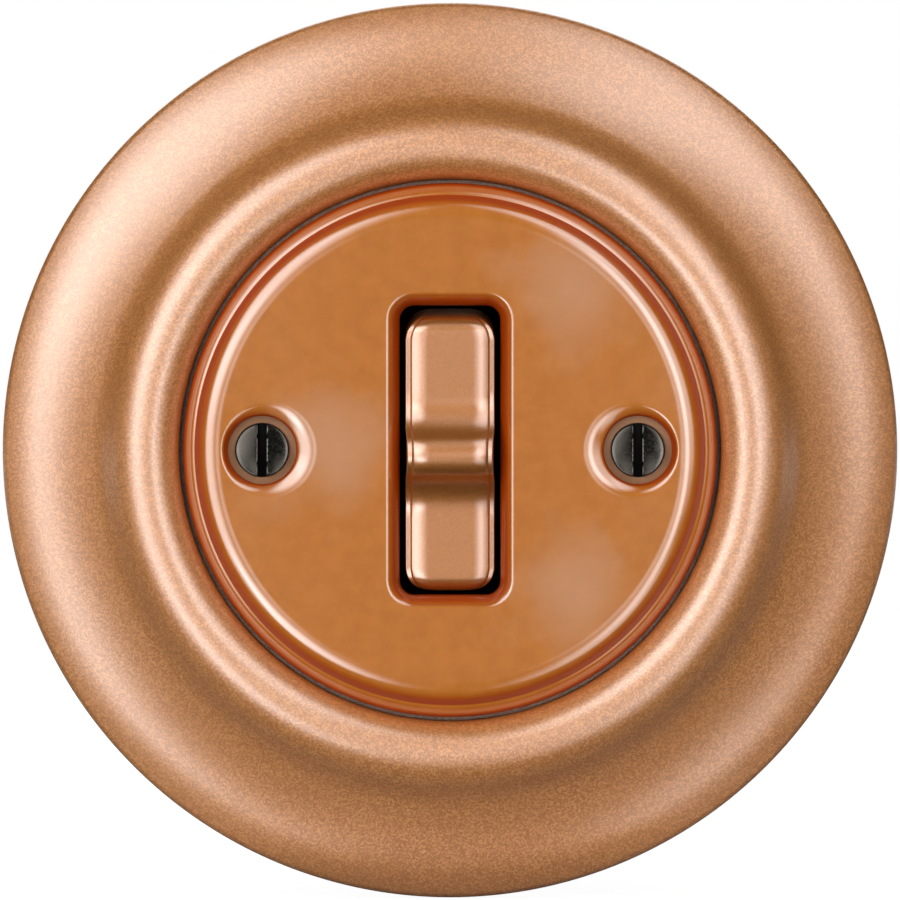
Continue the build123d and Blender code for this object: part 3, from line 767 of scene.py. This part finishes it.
def pale_floor():
    """White paper: partly its own white where it is the background, so that a soft shadow stays."""
    material = bpy.data.materials.new("pale_floor")
    material.use_nodes = True
    nodes, links = material.node_tree.nodes, material.node_tree.links
    nodes.remove(nodes["Principled BSDF"])
    paper = nodes.new("ShaderNodeBsdfDiffuse")
    paper.inputs["Color"].default_value = (0.25, 0.25, 0.25, 1)
    place = nodes.new("ShaderNodeTexCoord")
    away = nodes.new("ShaderNodeVectorMath")
    away.operation = "LENGTH"
    links.new(place.outputs["Object"], away.inputs[0])
    white = ramp(nodes, links, away.outputs["Value"], 0.1, 0.6, 0.93, 1.0)
    behind = ramp(nodes, links, away.outputs["Value"], 0.3, 1.0, 0.0, 1.0)
    glow = nodes.new("ShaderNodeEmission")
    level = chain_math(nodes, links, "MULTIPLY", backdrop_level(nodes, links, behind), white)
    links.new(level, glow.inputs["Strength"])
    both = nodes.new("ShaderNodeAddShader")
    links.new(paper.outputs[0], both.inputs[0])
    links.new(glow.outputs[0], both.inputs[1])
    links.new(both.outputs[0], nodes["Material Output"].inputs["Surface"])
    return material


floor_data.materials.append(pale_floor())

world = bpy.data.worlds.new("studio")
world.use_nodes = True
bpy.context.scene.world = world
nodes, links = world.node_tree.nodes, world.node_tree.links
place = nodes.new("ShaderNodeTexCoord")
split = nodes.new("ShaderNodeSeparateXYZ")
links.new(place.outputs["Generated"], split.inputs["Vector"])
behind = ramp(nodes, links, split.outputs["Y"], 0.8, 0.95, 0.0, 1.0)
background = nodes["Background"]
background.inputs["Color"].default_value = (1, 1, 1, 1)
level = chain_math(nodes, links, "MAXIMUM", backdrop_level(nodes, links, behind), 0.025)
links.new(level, background.inputs["Strength"])


def softbox(name, azimuth, elevation, distance, width, height, radiance):
    """Soft lamp that faces the switch. Azimuth runs to the right of the camera, elevation upwards.

    The lamp is brightest in the middle and fades towards its edges.
    """
    lamp = bpy.data.lights.new(name, "AREA")
    lamp.shape = "RECTANGLE"
    lamp.size = width
    lamp.size_y = height
    lamp.energy = radiance * pi * width * height
    lamp.use_nodes = True
    nodes, links = lamp.node_tree.nodes, lamp.node_tree.links
    cloth = nodes.new("ShaderNodeNewGeometry")
    split = nodes.new("ShaderNodeSeparateXYZ")
    links.new(cloth.outputs["Parametric"], split.inputs["Vector"])
    fades = []
    for side in ("X", "Y"):
        offset = chain_math(nodes, links, "SUBTRACT", split.outputs[side], 0.5)
        offset = chain_math(nodes, links, "ABSOLUTE", offset, 0.0)
        fades.append(ramp(nodes, links, offset, 0.5, 0.2, 0.0, 1.0))
    links.new(chain_math(nodes, links, "MULTIPLY", *fades), nodes["Emission"].inputs["Strength"])
    place = bpy.data.objects.new(name, lamp)
    a, e = radians(azimuth), radians(elevation)
    place.location = Vector((sin(a) * cos(e), -cos(a) * cos(e), sin(e))) * distance
    place.rotation_euler = place.location.to_track_quat("Z", "Y").to_euler()
    place.visible_camera = False
    bpy.context.scene.collection.objects.link(place)


softbox("left_softbox", -33, -4, 1.2, 0.8, 1.2, 2.65)
softbox("key_softbox", -33, 27, 1.2, 1.1, 1.1, 3.0)
softbox("upper_right_softbox", 29, 46, 1.2, 0.75, 0.75, 1.9)
softbox("right_softbox", 21, 3, 1.2, 0.32, 1.3, 3.0)
softbox("right_fill", 32, 17, 1.2, 0.85, 1.3, 1.7)
softbox("lower_left_softbox", -20, -21, 1.2, 0.6, 0.5, 3.3)
softbox("lower_right_softbox", 24, -25, 1.2, 0.7, 0.6, 1.5)
softbox("left_card", -9, 0, 1.5, 0.3, 0.7, 1.42)
softbox("right_card", 9, 0, 1.5, 0.3, 0.7, 1.42)
softbox("back_softbox", 180, 35, 1.2, 1.4, 1.4, 1.5)

# The camera stands level, so far off and with such a lens that the switch fills the picture
distance = 1.2
view_width = 0.10078
camera = bpy.data.objects.new("front_camera", bpy.data.cameras.new("front_camera"))
camera.location = (0, -distance - 0.0014, 0)
camera.rotation_euler = (pi / 2, 0, 0)
camera.data.sensor_width = 36
camera.data.lens = 36 * distance / view_width
bpy.context.scene.collection.objects.link(camera)
bpy.context.scene.camera = camera
bpy.context.scene.view_settings.view_transform = "Standard"
